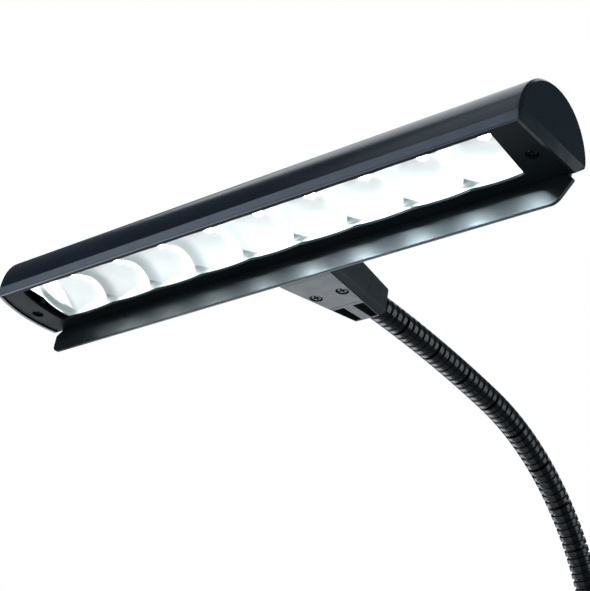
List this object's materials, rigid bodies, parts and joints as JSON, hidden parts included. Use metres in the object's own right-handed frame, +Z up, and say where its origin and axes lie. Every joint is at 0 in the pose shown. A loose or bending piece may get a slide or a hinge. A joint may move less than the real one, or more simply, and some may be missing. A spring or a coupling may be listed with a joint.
{
  "type": "music stand light",
  "caption": "Clip-on music stand light: a long LED lamp head with a fixed visor on a ribbed gooseneck, held by a sprung clip.",
  "frame": {"origin": "centre of the fixed clip pad, on its clamping face", "axes": "+Z up, -Y towards the player and the lamp head, X along the lamp head"},
  "size_m": [0.2735, 0.305, 0.2434],
  "materials": {
    "shell_black": "satin, slightly pebbled",
    "cap_black": "satin",
    "plate_grey": "satin",
    "mirror_plastic": "vacuum-metallised, bright",
    "led_lens": "lit phosphor, cool white",
    "board_white": "white solder mask",
    "board_green": "green solder mask",
    "screw_black": "black oxide",
    "screw_steel": "zinc plated",
    "visor_black": "satin",
    "block_black": "satin, fine grain",
    "neck_black": "semi-gloss black",
    "ferrule_black": "semi-gloss black",
    "steel": "plain",
    "clip_black": "satin, fine grain",
    "pad_rubber": "matt",
    "button_black": "glossy",
    "inlet_black": "plain"
  },
  "bodies": {
    "clip": {"clip_base": "clip_black", "housing_cover": "clip_black", "housing_screws": "screw_black", "base_pad": "pad_rubber", "hinge_pin": "steel", "torsion_spring": "steel", "neck_ferrule": "ferrule_black", "neck_nut": "steel", "circuit_board": "board_green", "switch_body": "inlet_black", "dc_inlet": "inlet_black", "neck_01": "neck_black"},
    "lever": {"clip_lever": "clip_black", "lever_pad": "pad_rubber"},
    "button": {"switch_button": "button_black"},
    "link_02": {"neck_02": "neck_black"},
    "link_03": {"neck_03": "neck_black"},
    "link_04": {"neck_04": "neck_black"},
    "link_05": {"neck_05": "neck_black"},
    "link_06": {"neck_06": "neck_black"},
    "link_07": {"neck_07": "neck_black"},
    "link_08": {"neck_08": "neck_black"},
    "link_09": {"neck_09": "neck_black"},
    "link_10": {"neck_10": "neck_black"},
    "link_11": {"neck_11": "neck_black"},
    "link_12": {"neck_12": "neck_black"},
    "head": {"head_shell": "shell_black", "end_cap_left": "cap_black", "end_cap_right": "cap_black", "face_plate": "plate_grey", "face_screws": "screw_black", "reflector": "mirror_plastic", "led_board": "board_white", "led_chips": "led_lens", "board_screws": "screw_steel", "visor": "visor_black", "neck_block": "block_black", "neck_collar": "block_black", "neck_anchor": "steel", "block_screws": "screw_black", "mount_screws": "screw_steel", "neck_13": "neck_black"}
  },
  "joints": [
    {"name": "neck_pitch_01", "type": "hinge", "parent": "clip", "child": "link_02", "pos_m": [0, 0.01099, 0.0899], "axis": [1, 0, 0], "range_deg": [-13, 13]},
    {"name": "neck_sway_01", "type": "hinge", "parent": "link_02", "child": "link_03", "pos_m": [0, 0.00862, 0.11285], "axis": [0, 0.9813, 0.1924], "range_deg": [-13, 13]},
    {"name": "neck_pitch_02", "type": "hinge", "parent": "link_03", "child": "link_04", "pos_m": [0, 0.00215, 0.13499], "axis": [1, 0, 0], "range_deg": [-13, 13]},
    {"name": "neck_sway_02", "type": "hinge", "parent": "link_04", "child": "link_05", "pos_m": [0, -0.0082, 0.15561], "axis": [0, 0.8495, 0.5275], "range_deg": [-13, 13]},
    {"name": "neck_pitch_03", "type": "hinge", "parent": "link_05", "child": "link_06", "pos_m": [0, -0.02209, 0.17403], "axis": [1, 0, 0], "range_deg": [-13, 13]},
    {"name": "neck_sway_03", "type": "hinge", "parent": "link_06", "child": "link_07", "pos_m": [0, -0.03907, 0.18965], "axis": [0, 0.6076, 0.7943], "range_deg": [-13, 13]},
    {"name": "neck_pitch_04", "type": "hinge", "parent": "link_07", "child": "link_08", "pos_m": [0, -0.05859, 0.20195], "axis": [1, 0, 0], "range_deg": [-13, 13]},
    {"name": "neck_sway_04", "type": "hinge", "parent": "link_08", "child": "link_09", "pos_m": [0, -0.08, 0.21054], "axis": [0, 0.2868, 0.958], "range_deg": [-13, 13]},
    {"name": "neck_pitch_05", "type": "hinge", "parent": "link_09", "child": "link_10", "pos_m": [0, -0.10261, 0.21513], "axis": [1, 0, 0], "range_deg": [-13, 13]},
    {"name": "neck_sway_05", "type": "hinge", "parent": "link_10", "child": "link_11", "pos_m": [0, -0.12559, 0.21744], "axis": [0, 0.0826, 0.9966], "range_deg": [-13, 13]},
    {"name": "neck_pitch_06", "type": "hinge", "parent": "link_11", "child": "link_12", "pos_m": [0, -0.14864, 0.21895], "axis": [1, 0, 0], "range_deg": [-13, 13]},
    {"name": "neck_sway_06", "type": "hinge", "parent": "link_12", "child": "head", "pos_m": [0, -0.17173, 0.21967], "axis": [0, 0.0139, 0.9999], "range_deg": [-13, 13]},
    {"name": "lever_squeeze", "type": "hinge", "parent": "clip", "child": "lever", "pos_m": [0, -0.0085, 0.037], "axis": [-1, 0, 0], "range_deg": [0, 30], "stiffness_Nm_per_rad": 0.8, "springref_deg": -40.11, "deforming": ["torsion_spring"]},
    {"name": "button_press", "type": "slide", "parent": "clip", "child": "button", "axis": [-1, 0, 0], "range_m": [0, 0.0009], "stiffness_N_per_m": 800, "springref_m": -0.0008}
  ],
  "couplings": [
    {"joint": "neck_pitch_02", "follows": "neck_pitch_01", "ratio": 1},
    {"joint": "neck_sway_02", "follows": "neck_sway_01", "ratio": 1},
    {"joint": "neck_pitch_03", "follows": "neck_pitch_01", "ratio": 1},
    {"joint": "neck_sway_03", "follows": "neck_sway_01", "ratio": 1},
    {"joint": "neck_pitch_04", "follows": "neck_pitch_01", "ratio": 1},
    {"joint": "neck_sway_04", "follows": "neck_sway_01", "ratio": 1},
    {"joint": "neck_pitch_05", "follows": "neck_pitch_01", "ratio": 1},
    {"joint": "neck_sway_05", "follows": "neck_sway_01", "ratio": 1},
    {"joint": "neck_pitch_06", "follows": "neck_pitch_01", "ratio": 1},
    {"joint": "neck_sway_06", "follows": "neck_sway_01", "ratio": 1}
  ]
}
